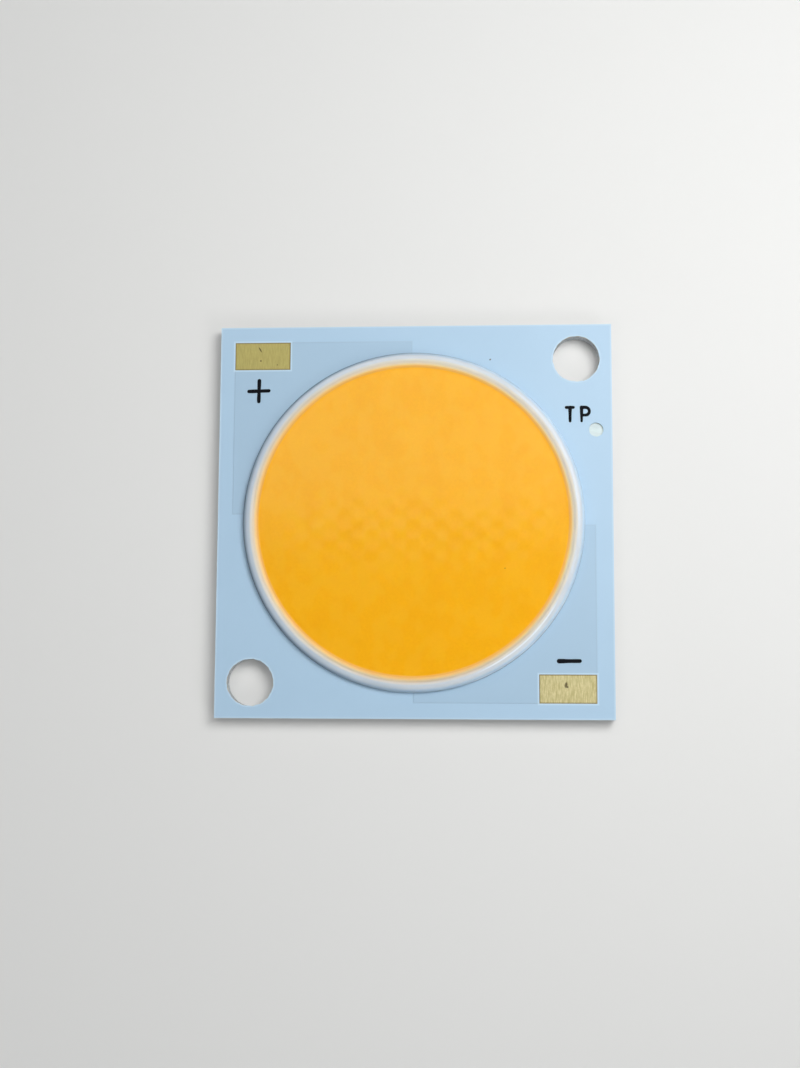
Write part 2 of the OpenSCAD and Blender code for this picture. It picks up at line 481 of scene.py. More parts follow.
@dataclass(frozen=True)
class PadFinish(Finish):
    """Gold plating with brushed streaks, a darker border and the dents of test probes."""

    corner: Point
    opposite: Point
    bright: Colour
    dull: Colour
    border: Colour
    marks: tuple[Mark, ...]
    mark: Colour = linear(70, 54, 22)
    mark_strength: float = 0.85
    border_w: float = 0.12
    metallic: float = 0.4
    smooth: float = 0.44
    rough: float = 0.56

    def draw(self, graph: Graph) -> bpy.types.Material:
        """Draws the plating.

        Args:
            graph: An empty graph.

        Returns:
            The finished material.
        """
        streak = graph.noise(1.6, 4, (9.0, 1.0, 1.0))
        weave = graph.noise(7.0, 2)
        tone = graph.mix(graph.ramp(streak, 0.35, 0.65), self.dull, self.bright)
        tone = graph.mix(graph.ramp(weave, 0.4, 0.7, 0.0, 0.35), tone, self.dull)
        edge = graph.rise(graph.box_distance(self.corner, self.opposite), (-self.border_w, 0.0))
        tone = graph.mix(edge, tone, self.border)
        pressed: Any = 0.0
        for mark in self.marks:
            pressed = graph.calc("MAXIMUM", pressed, graph.spot(*mark))
        tone = graph.mix(graph.calc("MULTIPLY", pressed, self.mark_strength), tone, self.mark)
        height = graph.calc("SUBTRACT", graph.calc("MULTIPLY", streak, 0.25), pressed)
        return graph.surface(
            Base_Color=tone,
            Metallic=self.metallic,
            Roughness=graph.spread(streak, self.rough, self.smooth),
            Normal=graph.bump(height, 0.01, 0.6),
        )


@dataclass(frozen=True)
class Rim:
    """How the amber of the pool fades into the white of the bead, from the bead's middle line inwards;
    painted light makes the tinted stops lighter towards the right and top, and painted shade makes the white
    darker towards the left.
    """

    centre: Point
    ring_r: float
    amber: Colour = linear(240, 176, 80)
    thin: Colour = linear(246, 192, 106)
    stained: Colour = linear(248, 207, 143)
    tinted: Colour = linear(238, 214, 177)
    stained_painted_lit: Colour = linear(255, 226, 168)
    tinted_painted_lit: Colour = linear(255, 238, 212)
    warm: Colour = linear(224, 217, 206)
    warm_painted_lit: Colour = linear(235, 227, 212)
    white: Colour = linear(211, 218, 224)
    white_painted_shade: Colour = linear(194, 206, 218)
    stops_mm: tuple[float, ...] = (-0.68, -0.57, -0.47, -0.37, -0.27, -0.10, 0.04)
    painted_light_way: Point = (1.0, 0.7)
    painted_light_span: Point = (-6, 10)
    painted_shade_way: Point = (1.0, 0.3)
    painted_shade_span: Point = (0.0, -11)

    def reach(self, graph: Graph) -> Any:
        """Distance outwards from the bead's middle line, in metres."""
        return graph.calc("SUBTRACT", graph.radius(self.centre), self.ring_r * MM)

    def draw(self, graph: Graph, body: Any) -> Any:
        """Draws the fade.

        Args:
            graph: The graph to draw in.
            body: Colour of the pool before it.

        Returns:
            The colour's socket.
        """
        # Painted light: the stained, tinted and warm stops turn lighter towards the right and top, where the
        # inner slope faces away from the lamps.
        side = graph.rise(graph.slant(*self.painted_light_way), self.painted_light_span)
        stained = graph.mix(side, self.stained, self.stained_painted_lit)
        tinted = graph.mix(side, self.tinted, self.tinted_painted_lit)
        warm = graph.mix(side, self.warm, self.warm_painted_lit)
        # Painted shade: the white turns darker towards the left.
        left = graph.rise(graph.slant(*self.painted_shade_way), self.painted_shade_span)
        white = graph.mix(left, self.white, self.white_painted_shade)
        colours = (body, self.amber, self.thin, stained, tinted, warm, white)
        stops = [(at * MM, colour) for at, colour in zip(self.stops_mm, colours)]
        return graph.gradient(self.reach(graph), stops)


@dataclass(frozen=True)
class DamFinish(Finish):
    """White silicone bead, tinted by the phosphor along its inner slope, pale bluish at its outer foot, with
    painted shade along that foot on the left and painted highlights on its crest and outer lip towards the
    lower right.
    """

    rim: Rim
    foot: Colour = linear(196, 218, 237)
    painted_foot_shade: Colour = linear(92, 106, 118)
    painted_glint: Colour = linear(236, 243, 250)
    clouded: Colour = (0.95, 0.955, 0.96)
    foot_span: Point = (0.2, 0.4)
    foot_shade_way: Point = (-0.98, 0.17)
    foot_shade_side: Point = (-7, 8.8)
    foot_shade_span: Point = (0.16, 0.54)
    glint_way: Point = (0.669, -0.743)
    glint_side: Point = (10.9, 11.35)
    crest: tuple[float, Point] = (0.02, (0.02, 0.08))
    lip: tuple[float, Point] = (0.47, (0.02, 0.06))
    smooth: float = 0.18
    rough: float = 0.26
    scatter: Triple = (1.0, 0.9, 0.8)
    scatter_mm: float = 0.7

    def draw(self, graph: Graph) -> bpy.types.Material:
        """Draws the bead.

        Args:
            graph: An empty graph.

        Returns:
            The finished material.
        """
        reach = self.rim.reach(graph)
        coat = self.rim.draw(graph, self.rim.amber)
        # Outer foot: the mask's blue seen through the thin silicone, set lighter than the mask as painted
        # light against the shade where the bead meets it.
        coat = graph.mix(graph.rise(reach, self.foot_span), coat, self.foot)
        cloud = graph.spread(graph.noise(0.8, 3), 0.0, 0.5)
        coat = graph.mix(cloud, coat, graph.mix(1.0, coat, self.clouded, "MULTIPLY"))
        # Painted shade: the outer foot darkens towards the left, where that slope faces away from the light.
        side = graph.rise(graph.slant(*self.foot_shade_way), self.foot_shade_side)
        foot = graph.rise(reach, self.foot_shade_span)
        coat = graph.mix(graph.calc("MULTIPLY", side, foot), coat, self.painted_foot_shade)
        # Painted highlight: a pale streak along the crest and a fainter one along the outer lip, on the lower
        # right only.
        glint_mask = graph.rise(graph.slant(*self.glint_way), self.glint_side)
        crest = graph.stripe(reach, *self.crest)
        lip = graph.stripe(reach, *self.lip, 0.5)
        coat = graph.mix(graph.calc("MULTIPLY", glint_mask, graph.calc("MAXIMUM", crest, lip)), coat, self.painted_glint)
        return graph.surface(
            Base_Color=coat,
            IOR=SILICONE_IOR,
            Roughness=graph.spread(graph.noise(5.0, 2), self.smooth, self.rough),
            Subsurface_Weight=0.8,
            Subsurface_Radius=self.scatter,
            Subsurface_Scale=self.scatter_mm * MM,
            Normal=graph.bump(graph.noise(2.2, 2), 0.004, 0.5),
        )


@dataclass(frozen=True)
class PhosphorFinish(Finish):
    """Amber silicone full of phosphor grains, paler where it thins out at the rim; the rim's fade carries its
    painted light towards the right and top.
    """

    rim: Rim
    flat_r: float
    outer_r: float
    deep: Colour = linear(254, 182, 13)
    grainy: Colour = linear(247, 173, 8)
    pale: Colour = linear(254, 189, 36)
    speck: Mark = ((6.4, -3.5), (0.045, 0.03), 15)
    speck_tone: Colour = linear(150, 94, 18)
    smooth: float = 0.13
    creep_rough: float = 0.3
    scatter: Triple = (1.0, 0.6, 0.15)
    scatter_mm: float = 0.15

    def draw(self, graph: Graph) -> bpy.types.Material:
        """Draws the pool.

        Args:
            graph: An empty graph.

        Returns:
            The finished material.
        """
        fine = graph.noise(6.0, 3)
        cloud = graph.noise(0.5, 4)
        body = graph.mix(graph.spread(fine, 0.0, 0.5), self.deep, self.grainy)
        body = graph.mix(graph.ramp(cloud, 0.35, 0.7, 0.0, 0.4), body, self.grainy)
        patch = graph.noise(0.9, 1, (1.0, 0.7, 1.0))
        body = graph.mix(graph.ramp(patch, 0.4, 0.6, 0.0, 0.35), body, self.pale)
        level = graph.rise(graph.radius(self.rim.centre), (self.flat_r, self.outer_r))
        # The rim's fade brings its painted light, lighter towards the right and top, into the pool's edge.
        body = self.rim.draw(graph, body)
        body = graph.mix(graph.spot(*self.speck), body, self.speck_tone)
        return graph.surface(
            Base_Color=body,
            IOR=SILICONE_IOR,
            Roughness=graph.calc("ADD", graph.calc("MULTIPLY", level, self.creep_rough), self.smooth),
            Subsurface_Weight=0.25,
            Subsurface_Radius=self.scatter,
            Subsurface_Scale=self.scatter_mm * MM,
            Normal=graph.bump(graph.noise(0.45, 3), 0.012, 0.5),
        )


@dataclass(frozen=True)
class PaperFinish(Finish):
    """Pale paper that fades into an even backdrop well away from the object."""

    paper: Colour = linear(230, 230, 228)
    backdrop: Colour = linear(230, 230, 228)
    near_mm: float = 52.0
    far_mm: float = 130.0

    def draw(self, graph: Graph) -> bpy.types.Material:
        """Draws the paper.

        Args:
            graph: An empty graph.

        Returns:
            The finished material.
        """
        paper = graph.add("ShaderNodeBsdfDiffuse", {"Color": self.paper})
        glow = graph.add("ShaderNodeEmission", {"Color": self.backdrop})
        far = graph.rise(graph.radius(), (self.near_mm, self.far_mm))
        share = graph.calc("MULTIPLY", far, graph.seen_by_eye())
        both = graph.add("ShaderNodeMixShader", {0: share, 1: paper.outputs[0], 2: glow.outputs[0]})
        graph.add("ShaderNodeOutputMaterial", {"Surface": both.outputs[0]})
        return graph.owner


# ---- mesh building


def ring_points(centre: Point, radius: float, count: int, rough: float = 0.0, seed: int = 0) -> list[Point]:
    """Points round a circle, with an optional ragged edge.

    Args:
        centre: The circle's middle.
        radius: Its radius.
        count: Number of points.
        rough: Largest change of the radius.
        seed: Seed of the ragged edge.

    Returns:
        The points, turning left.
    """
    dice = random.Random(seed)
    wobble = [dice.uniform(-1, 1) for _ in range(count)]
    points = []
    for i in range(count):
        angle = math.tau * i / count
        near = (wobble[i - 1] + 2 * wobble[i] + wobble[(i + 1) % count]) / 4
        reach = radius + rough * near
        points.append((centre[0] + reach * math.cos(angle), centre[1] + reach * math.sin(angle)))
    return points


def box_points(low: Point, high: Point) -> list[Point]:
    """Corners of a rectangle, turning left."""
    return [(low[0], low[1]), (high[0], low[1]), (high[0], high[1]), (low[0], high[1])]


def bow(centre: Point, radius: float, start: float, end: float, steps: int = 12) -> list[Point]:
    """Points along an arc, with its angles in degrees."""
    angles = [math.radians(start + (end - start) * i / steps) for i in range(steps + 1)]
    return [(centre[0] + radius * math.cos(a), centre[1] + radius * math.sin(a)) for a in angles]


def line(start: Point, end: Point, steps: int = 5) -> list[Point]:
    """Points along a straight line."""
    (x, y), (u, v) = start, end
    return [(x + (u - x) * i / steps, y + (v - y) * i / steps) for i in range(steps + 1)]


def plan_box(node: str) -> Box:
    """Lowest and highest corner of a CAD node in plan, in millimetres."""
    low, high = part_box(node)
    return (low.x / MM, low.y / MM), (high.x / MM, high.y / MM)


def raise_faces(bm: bmesh.types.BMesh, faces: Sequence[Any], height: float) -> list[Any]:
    """Makes faces into a closed solid by raising a copy of them.

    Args:
        bm: The mesh.
        faces: The faces.
        height: How far the copy goes up.

    Returns:
        The raised vertices.
    """
    raised = bmesh.ops.extrude_face_region(bm, geom=faces, use_keep_orig=True)["geom"]
    top = [g for g in raised if isinstance(g, bmesh.types.BMVert)]
    bmesh.ops.translate(bm, verts=top, vec=(0, 0, height))
    return top


def sheet_shell(
    bm: bmesh.types.BMesh, loops: Sequence[Sequence[Point]], low: float, high: float
) -> list[Any]:
    """Adds a closed flat sheet with holes.

    Args:
        bm: The mesh to add to.
        loops: The outline and the holes' outlines.
        low: Height of its underside.
        high: Height of its top.

    Returns:
        The top's outline edges.
    """
    edges = []
    for loop in loops:
        verts = [bm.verts.new((x, y, low)) for x, y in loop]
        edges += [bm.edges.new((verts[i - 1], verts[i])) for i in range(len(verts))]
    filled = bmesh.ops.triangle_fill(bm, edges=edges, use_beauty=True, normal=(0, 0, -1))
    faces = [g for g in filled["geom"] if isinstance(g, bmesh.types.BMFace)]
    upper = set(raise_faces(bm, faces, high - low))
    lids = {f for f in bm.faces if all(v in upper for v in f.verts)}
    return [e for f in lids for e in f.edges if sum(g in lids for g in e.link_faces) == 1]


def soften(bm: bmesh.types.BMesh, edges: Iterable[Any], width: float, segments: int = 2) -> None:
    """Bevels edges.

    Args:
        bm: The mesh.
        edges: The edges.
        width: Width of the bevel.
        segments: Number of steps.
    """
    bmesh.ops.bevel(
        bm,
        geom=list(edges),
        offset=width,
        segments=segments,
        profile=0.5,
        affect="EDGES",
        clamp_overlap=True,
        material=-1,
    )


def spin_shell(bm: bmesh.types.BMesh, profile: Sequence[Point], steps: int) -> None:
    """Turns a profile of radius and height once round the Z axis.

    Args:
        bm: The mesh to add to.
        profile: The profile; its ends lie on the axis or it is closed.
        steps: Number of steps.
    """
    verts = [bm.verts.new((r, 0, z)) for r, z in profile]
    edges = [bm.edges.new((verts[i - 1], verts[i])) for i in range(1, len(verts))]
    if profile[0][0] > MERGE_MM:
        edges.append(bm.edges.new((verts[-1], verts[0])))
    bmesh.ops.spin(
        bm, geom=verts + edges, cent=(0, 0, 0), axis=(0, 0, 1), angle=math.tau, steps=steps, use_merge=True
    )
    bmesh.ops.remove_doubles(bm, verts=bm.verts, dist=MERGE_MM)


def add_object(name: str, data: Any) -> bpy.types.Object:
    """Puts a new object in the scene.

    Args:
        name: Its name.
        data: Its mesh, lamp or camera.

    Returns:
        The object.
    """
    obj = bpy.data.objects.new(name, data)
    bpy.context.scene.collection.objects.link(obj)
    return obj


@dataclass
class Piece:
    """One finished object made from a mesh in millimetres."""

    name: str
    bm: bmesh.types.BMesh
    finish: Finish
    node: str | None = None
    slot: Slot | None = None
    sharp_deg: float = 35.0
    planar: bool = False

    def place(self) -> None:
        """Makes the object, gives it its finish and ties it to the frame."""
        bm = self.bm
        bmesh.ops.remove_doubles(bm, verts=bm.verts, dist=MERGE_MM)
        bmesh.ops.scale(bm, verts=bm.verts, vec=(MM, MM, MM))
        bmesh.ops.recalc_face_normals(bm, faces=bm.faces)
        limit = math.radians(self.sharp_deg)
        for face in bm.faces:
            face.smooth = not (self.planar and max(map(abs, face.normal)) > FLAT)
        for edge in bm.edges:
            edge.smooth = edge.is_manifold and edge.calc_face_angle(0.0) < limit
        open_edges = sum(not e.is_manifold for e in bm.edges)
        mesh = bpy.data.meshes.new(self.name)
        bm.to_mesh(mesh)
        bm.free()
        obj = add_object(self.name, mesh)
        mesh.materials.append(self.finish.material())
        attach(obj, "root")
        if self.node:
            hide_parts(self.node)
        LOG.info("%s: %d faces, %d open edges", self.name, len(mesh.polygons), open_edges)


def dress_node(node: bpy.types.Object, finish: Finish) -> None:
    """Gives a CAD node a finish.

    Args:
        node: The CAD node's object.
        finish: The finish.
    """
    node.data.materials.clear()
    node.data.materials.append(finish.material())
    LOG.info("%s: dressed as %s", node.name, finish.name)


# ---- sub-assemblies


@dataclass
class Layout:
    """Places on the board that several pieces share, in millimetres."""

    half: float = 14.0
    hole_r: float = 1.65
    hole_at: float = 11.5
    probe_at: Point = (12.87, 6.37)
    probe_r: float = 0.5
    base_top: float = 1.0
    film_top: float = 1.08
    low_top: float = 1.125
    high_top: float = 1.145
    window_r: float = 11.248

    def outline(self) -> Box:
        """Lowest and highest corner of the board in plan."""
        return (-self.half, -self.half), (self.half, self.half)

    def holes(self) -> list[Point]:
        """Middles of the two screw holes."""
        return [(self.hole_at, self.hole_at), (-self.hole_at, -self.hole_at)]


@dataclass
class Board:
    """Aluminium base, dielectric film, copper and the mask over them."""

    layout: Layout
    nodes: dict[str, bpy.types.Object]
    copper_shift: float = -0.1
    copper_gap: Point = (0.2, 0.84)
    edge_bevel: float = 0.05
    mask_bevel: float = 0.015
    rag: float = 0.035
    hole_steps: int = 96
    window_steps: int = 256
    probe_steps: int = 48
    probe_rag: float = 0.02
    sink: float = 0.01

    def pour(self, half: Polarity) -> Box:
        """Outline box of one copper half; its outer corner is read from the CAD.

        Args:
            half: Which half.

        Returns:
            Its lowest and highest corner in plan, in millimetres.
        """
        low, high = plan_box(half.node("copper"))
        inner_x = self.copper_shift - half.value * self.copper_gap[0] / 2
        inner_y = half.value * self.copper_gap[1] / 2
        if half is Polarity.ANODE:
            return (low[0], inner_y), (inner_x, high[1])
        return (inner_x, low[1]), (high[0], inner_y)

    def build(self) -> None:
        """Builds the base and the mask."""
        self._build_base()
        self._build_mask()

    def _build_base(self) -> None:
        """Builds the punched aluminium sheet."""
        lay = self.layout
        bm = bmesh.new()
        loops = [box_points(*lay.outline())]
        loops += [ring_points(c, lay.hole_r, self.hole_steps) for c in lay.holes()]
        rim = sheet_shell(bm, loops, 0.0, lay.base_top)
        low = [e for e in bm.edges if all(v.co.z < MERGE_MM for v in e.verts)]
        under = [e for e in low if e.is_manifold and e.calc_face_angle(0.0) > 1.0]
        soften(bm, rim + under, self.edge_bevel, 2)
        Piece("base_sheet", bm, BASE, "aluminium_base", Slot.ALUMINIUM, planar=True).place()

    def _build_mask(self) -> None:
        """Builds the mask: a thin coat on the film and a raised one over the copper."""
        lay = self.layout
        bm = bmesh.new()
        loops = [box_points(*lay.outline())]
        for seed, centre in enumerate(lay.holes()):
            loops.append(ring_points(centre, lay.hole_r, self.hole_steps, self.rag, seed))
        loops.append(ring_points(lay.probe_at, lay.probe_r, self.probe_steps, self.probe_rag, 7))
        loops.append(ring_points((0, 0), lay.window_r, self.window_steps))
        pads = tuple(plan_box(half.node("pad")) for half in Polarity)
        loops += [box_points(*pad) for pad in pads]
        rim = sheet_shell(bm, loops, lay.film_top, lay.low_top)
        soften(bm, rim, self.mask_bevel, 2)
        for half in Polarity:
            rim = sheet_shell(bm, [self._plateau(half)], lay.low_top - self.sink, lay.high_top)
            soften(bm, rim, self.mask_bevel, 1)
        pours = tuple(self.pour(half) for half in Polarity)
        finish = MaskFinish("mask white", pours, pads, lay.outline(), tuple(lay.holes()), lay.hole_r)
        Piece("mask_coat", bm, finish, "solder_mask", Slot.MASK, planar=True).place()

    def _plateau(self, half: Polarity) -> list[Point]:
        """Outline of the raised mask over one copper half.

        Args:
            half: Which half.

        Returns:
            Its points; the round window and the pad's window are left out.
        """
        s = half.value
        (x0, y0), (x1, y1) = self.pour(half)
        (p0, q0), (p1, q1) = plan_box(half.node("pad"))
        if half is Polarity.CATHODE:
            x0, y0, x1, y1 = -x1, -y1, -x0, -y0
            p0, q0, p1, q1 = -p1, -q1, -p0, -q0
        r = self.layout.window_r
        start, end = math.acos(x1 / r), math.pi - math.asin(y0 / r)
        steps = self.window_steps // 4
        arc = [start + (end - start) * i / steps for i in range(steps + 1)]
        points = [(p1, y1), (p1, q0), (x0, q0), (x0, y0)]
        points += [(r * math.cos(a), r * math.sin(a)) for a in reversed(arc)]
        points += [(x1, y1)]
        return [(s * x, s * y) for x, y in points]

    def dress(self) -> None:
        """Dresses the CAD layers that stay: film and copper."""
        dress_node(self.nodes["dielectric_film"], LAMINATE)
        dress_node(self.nodes["anode_copper"], COPPER)
        dress_node(self.nodes["cathode_copper"], COPPER)


@dataclass
class Pads:
    """The two gold-plated solder pads."""

    bevel_share: float = 0.4
    border: Colour = linear(120, 104, 56)

    def build(self) -> None:
        """Builds both pads."""
        marks = (
            ((-11.15, 12.37), (0.2, 0.05), -60.0),
            ((-11.1, 11.55), (0.06, 0.06), 0.0),
            ((-9.9, 11.25), (0.04, 0.04), 0.0),
        )
        self._build_one(Polarity.ANODE, linear(181, 169, 100), linear(169, 158, 92), marks)
        marks = (((10.6, -11.6), (0.19, 0.09), 80.0), ((10.68, -11.74), (0.08, 0.07), 0.0))
        self._build_one(Polarity.CATHODE, linear(211, 201, 152), linear(180, 169, 115), marks)

    def _build_one(self, half: Polarity, bright: Colour, dull: Colour, marks: tuple[Mark, ...]) -> None:
        """Builds one pad.

        Args:
            half: Which half.
            bright: Plating colour on the streaks.
            dull: Plating colour between them.
            marks: Probe dents as middle, half sizes and turn.
        """
        name = half.node("pad")
        low, high = plan_box(name)
        bottom, top = (v.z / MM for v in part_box(name))
        bm = bmesh.new()
        made = bmesh.ops.create_cube(bm, size=1.0)
        bmesh.ops.scale(bm, verts=made["verts"], vec=(high[0] - low[0], high[1] - low[1], top - bottom))
        middle = ((low[0] + high[0]) / 2, (low[1] + high[1]) / 2, (bottom + top) / 2)
        bmesh.ops.translate(bm, verts=made["verts"], vec=middle)
        upper = [e for e in bm.edges if all(v.co.z > middle[2] for v in e.verts)]
        soften(bm, upper, (top - bottom) * self.bevel_share, 2)
        finish = PadFinish(f"plating {half.name.lower()}", low, high, bright, dull, self.border, marks)
        Piece(f"{name}_plating", bm, finish, name, Slot.GOLD, planar=True).place()


@dataclass
class Dam:
    """The white silicone bead round the light."""

    ring_r: float = 11.58
    bead_r: float = 0.52
    bead_z: float = 1.215
    mask_z: float = 1.145
    foot_z: float = 1.125
    outer_flare: float = 0.01
    inner_tuck: float = 0.03
    steps: int = 288
    arc_steps: int = 28
    foot_deg: float = 12.0
    sway: float = 0.006
    waves: tuple[Triple, ...] = ((3, 0.6, 0.7), (8, 0.4, 0.0))
    centre: Point = (-0.07, -0.09)

    def foot_half(self) -> float:
        """Half width of the bead where it meets the mask."""
        return math.sqrt(self.bead_r**2 - (self.bead_z - self.mask_z) ** 2)

    def build(self) -> None:
        """Spins the bead and lets it sway a little, as a hand-set nozzle leaves it."""
        half = self.foot_half()
        end = 180.0 - math.degrees(math.atan2(self.mask_z - self.bead_z, half))
        profile = [(self.ring_r + self.bead_r + self.outer_flare, self.foot_z)]
        profile += bow((self.ring_r, self.bead_z), self.bead_r, self.foot_deg, end, self.arc_steps)
        profile.append((self.ring_r - half + self.inner_tuck, self.foot_z))
        bm = bmesh.new()
        spin_shell(bm, profile, self.steps)
        for vert in bm.verts:
            turn = math.atan2(vert.co.y, vert.co.x)
            lift = (vert.co.z - self.foot_z) / (self.bead_z + self.bead_r - self.foot_z)
            swing = sum(share * math.sin(count * turn + start) for count, share, start in self.waves)
            shift = self.sway * swing * lift
            reach = math.hypot(vert.co.x, vert.co.y)
            vert.co.x *= (reach + shift) / reach
            vert.co.y *= (reach + shift) / reach
            vert.co += Vector((*self.centre, 0.0))
        finish = DamFinish("dam white", Rim(self.centre, self.ring_r))
        Piece("dam_bead", bm, finish, "dam_ring", Slot.DAM, 60.0).place()


@dataclass
class Phosphor:
    """The amber pool inside the dam, faintly dimpled over its chips."""

    dam: Dam
    window_r: float = 10.484
    bus_r: float = 10.604
    floor_z: float = 1.0
    film_z: float = 1.08
    bus_z: float = 1.115
    top_z: float = 1.545
    creep_z: float = 1.67
    creep_r: float = 1.0
    row_pitch: float = 0.98
    chip_pitch: float = 1.52
    field_r: float = 10.384
    dimple: float = 0.0045
    ring_step: float = 0.1
    curve_steps: int = 8
    steps: int = 288

    def lattice(self, x: float, y: float) -> float:
        """Height of the faint pattern that the chips press into the surface.

        Args:
            x: Place across the rows.
            y: Place along the rows.

        Returns:
            The height, from -1 to 1.
        """
        column = x / self.row_pitch + 0.5
        along = y / self.chip_pitch + 0.5 * (math.floor(column) % 2)
        return 0.5 * math.cos(math.tau * column) + 0.5 * math.cos(math.tau * along)

    def build(self) -> None:
        """Builds the pool with its meniscus and its dimples."""
        dam = self.dam
        wall = dam.ring_r - dam.foot_half()
        reach = dam.ring_r - math.sqrt(dam.bead_r**2 - (self.creep_z - dam.bead_z) ** 2)
        flat_r = reach - math.sqrt(self.creep_r**2 - (self.creep_r - self.creep_z + self.top_z) ** 2)
        rings = int(flat_r / self.ring_step)
        profile = [(flat_r * i / rings, self.top_z) for i in range(rings + 1)]
        drop = math.degrees(math.asin((reach - flat_r) / self.creep_r))
        creep = (flat_r, self.top_z + self.creep_r)
        profile += bow(creep, self.creep_r, -90.0, drop - 90.0, self.curve_steps)[1:]
        climbs = [math.asin((z - dam.bead_z) / dam.bead_r) for z in (self.creep_z, dam.mask_z)]
        top, foot = (180.0 - math.degrees(climb) for climb in climbs)
        profile += bow((dam.ring_r, dam.bead_z), dam.bead_r, top, foot, self.curve_steps)[1:]
        profile += [(wall, self.bus_z), (self.bus_r, self.bus_z), (self.bus_r, self.film_z)]
        profile += [(self.window_r, self.film_z), (self.window_r, self.floor_z), (0.0, self.floor_z)]
        bm = bmesh.new()
        spin_shell(bm, profile, self.steps)
        for vert in bm.verts:
            if vert.co.z > self.bus_z + MERGE_MM:
                vert.co += Vector((*dam.centre, 0.0))
            if vert.co.z < self.top_z - MERGE_MM:
                continue
            reach_now = math.hypot(vert.co.x, vert.co.y)
            fade = max(0.0, min(1.0, (self.field_r - reach_now) / self.row_pitch))
            vert.co.z += self.dimple * fade * self.lattice(vert.co.x, vert.co.y)
        finish = PhosphorFinish("phosphor amber", Rim(dam.centre, dam.ring_r), flat_r, reach)
        Piece("phosphor_pool", bm, finish, "phosphor_fill", Slot.PHOSPHOR, 50.0).place()


@dataclass
class Dies:
    """Chips, adhesive and bond wires, sealed under the phosphor and kept from the CAD."""

    nodes: dict[str, bpy.types.Object]

    def dress(self) -> None:
        """Dresses every row."""
        kinds = {"chip_row": CHIP, "wire_row": WIRE, "die_adhesive": ADHESIVE}
        for name, node in self.nodes.items():
            for start, finish in kinds.items():
                if name.startswith(start):
                    dress_node(node, finish)


@dataclass
class Stroke:
    """One stroke of ink: a path with a width at each end."""

    path: list[Point]
    start_w: float
    end_w: float
    uneven: Point = (0.93, 1.05)

    def outline(self, dice: random.Random, cap_steps: int = 6) -> tuple[list[Point], list[Point]]:
        """Both sides of the stroke, with round ends.

        Args:
            dice: Source of the ink's unevenness.
            cap_steps: Steps of each round end.

        Returns:
            Left and right sides, which start and end at the same points.
        """
        left, right = [], []
        last = len(self.path) - 1
        for i, (x, y) in enumerate(self.path):
            a, b = self.path[max(i - 1, 0)], self.path[min(i + 1, last)]
            turn = math.atan2(b[1] - a[1], b[0] - a[0])
            half = (self.start_w + (self.end_w - self.start_w) * i / last) / 2 * dice.uniform(*self.uneven)
            ends = []
            if i == 0:
                ends = [math.pi - math.pi / 2 * k / cap_steps for k in range(cap_steps)]
            ends.append(math.pi / 2)
            if i == last:
                ends += [math.pi / 2 - math.pi / 2 * k / cap_steps for k in range(1, cap_steps + 1)]
            for angle in ends:
                left.append((x + half * math.cos(turn + angle), y + half * math.sin(turn + angle)))
                right.append((x + half * math.cos(turn - angle), y + half * math.sin(turn - angle)))
        return left, right


@dataclass
class Sign:
    """One printed sign."""

    name: str
    strokes: list[Stroke]
    level: float
    film: float = 0.008
    overlap: float = 0.15

    def build(self, seed: int) -> None:
        """Builds the ink.

        Args:
            seed: Seed of the ink's unevenness.
        """
        bm = bmesh.new()
        dice = random.Random(seed)
        for order, stroke in enumerate(self.strokes):
            left, right = stroke.outline(dice)
            grid = [[bm.verts.new((*side, self.level)) for side in pair] for pair in zip(left, right)]
            faces = [bm.faces.new((a, b, d, c)) for (a, b), (c, d) in zip(grid, grid[1:])]
            raise_faces(bm, faces, self.film * (1 + self.overlap * order))
            bmesh.ops.remove_doubles(bm, verts=bm.verts, dist=MERGE_MM)
        Piece(self.name, bm, INK, sharp_deg=50.0).place()


@dataclass
class Legend:
    """The generic signs: plus, minus and the temperature point's letters."""

    layout: Layout
    plus_at: Point = (-11.2, 9.33)
    plus_reach: Point = (0.72, 0.76)
    minus_at: Point = (10.85, -9.95)
    minus_reach: float = 0.72
    letter_top: float = 7.98
    letter_foot: float = 6.99
    t_bar: Point = (10.78, 11.28)
    t_stem: float = 11.04
    p_stem: float = 11.85
    p_bowl: Point = (12.12, 7.42)

    def build(self) -> None:
        """Builds all signs."""
        px, py = self.plus_at
        rx, ry = self.plus_reach
        high, low = self.layout.high_top, self.layout.low_top
        cross = [
            Stroke(line((px - rx, py - 0.02), (px + rx, py + 0.02)), 0.27, 0.25),
            Stroke(line((px + 0.02, py + ry), (px, py - ry)), 0.27, 0.26),
        ]
        Sign("sign_plus", cross, high).build(1)
        mx, my = self.minus_at
        dash = [Stroke(line((mx - self.minus_reach, my), (mx + self.minus_reach, my + 0.01)), 0.31, 0.26)]
        Sign("sign_minus", dash, high).build(2)
        top, foot = self.letter_top, self.letter_foot
        letter_t = [
            Stroke(line((self.t_bar[0], top), (self.t_bar[1], top)), 0.23, 0.22),
            Stroke(line((self.t_stem, top), (self.t_stem, foot)), 0.27, 0.19),
        ]
        Sign("sign_t", letter_t, low).build(3)
        stem, (bowl_x, bowl_foot) = self.p_stem, self.p_bowl
        middle = (top + bowl_foot) / 2
        bowl = [(stem, top), *bow((bowl_x, middle), top - middle, 90, -90), (stem, bowl_foot)]
        letter_p = [Stroke(line((stem, top), (stem, foot)), 0.27, 0.17), Stroke(bowl, 0.23, 0.21)]
        Sign("sign_p", letter_p, low).build(4)


# ---- shared finishes

